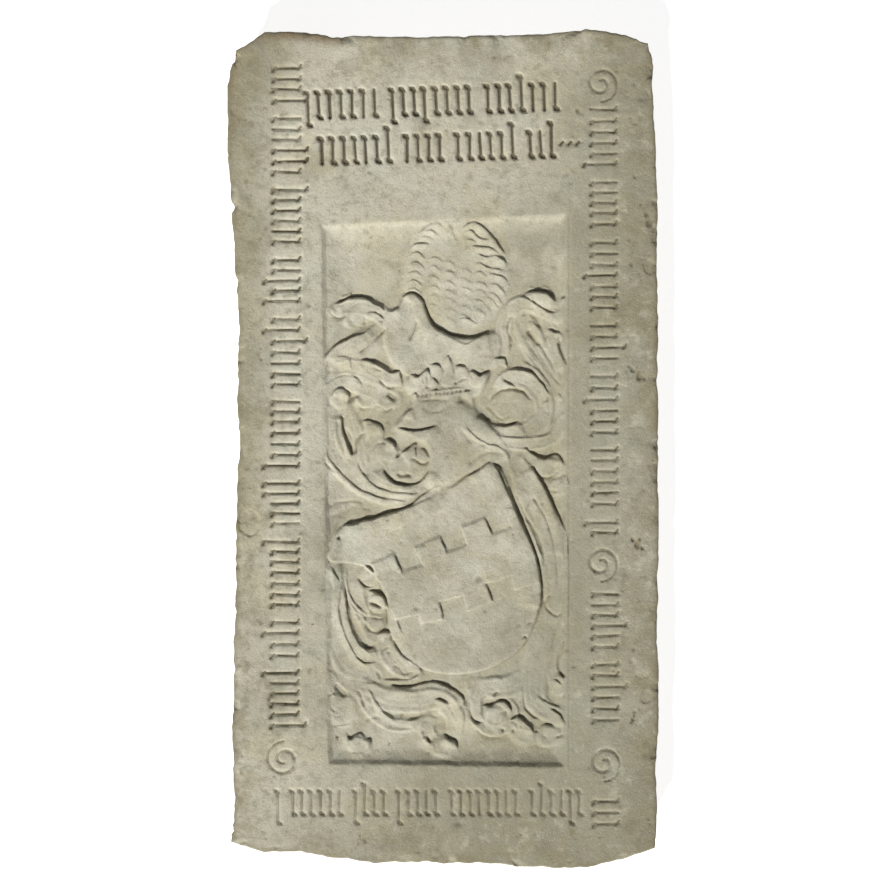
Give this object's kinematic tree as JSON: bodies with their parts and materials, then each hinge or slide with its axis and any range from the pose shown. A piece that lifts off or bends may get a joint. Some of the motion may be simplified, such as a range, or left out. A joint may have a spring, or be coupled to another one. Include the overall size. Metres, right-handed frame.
{
  "type": "grave slab",
  "caption": "Medieval stone ledger lying flat, with broken edges, a sunken panel of heraldic relief and rows of incised strokes round the border.",
  "frame": {"origin": "middle of the block's outline, on its flat back", "axes": "+Z out of the carved face, +Y towards the head of the slab, +X to the right as the shield is seen"},
  "size_m": [1.08, 2.1, 0.15],
  "materials": {
    "stone": "pale worn limestone, matt, with dust in the carving"
  },
  "bodies": {
    "root": {"slab": "stone"}
  },
  "joints": []
}
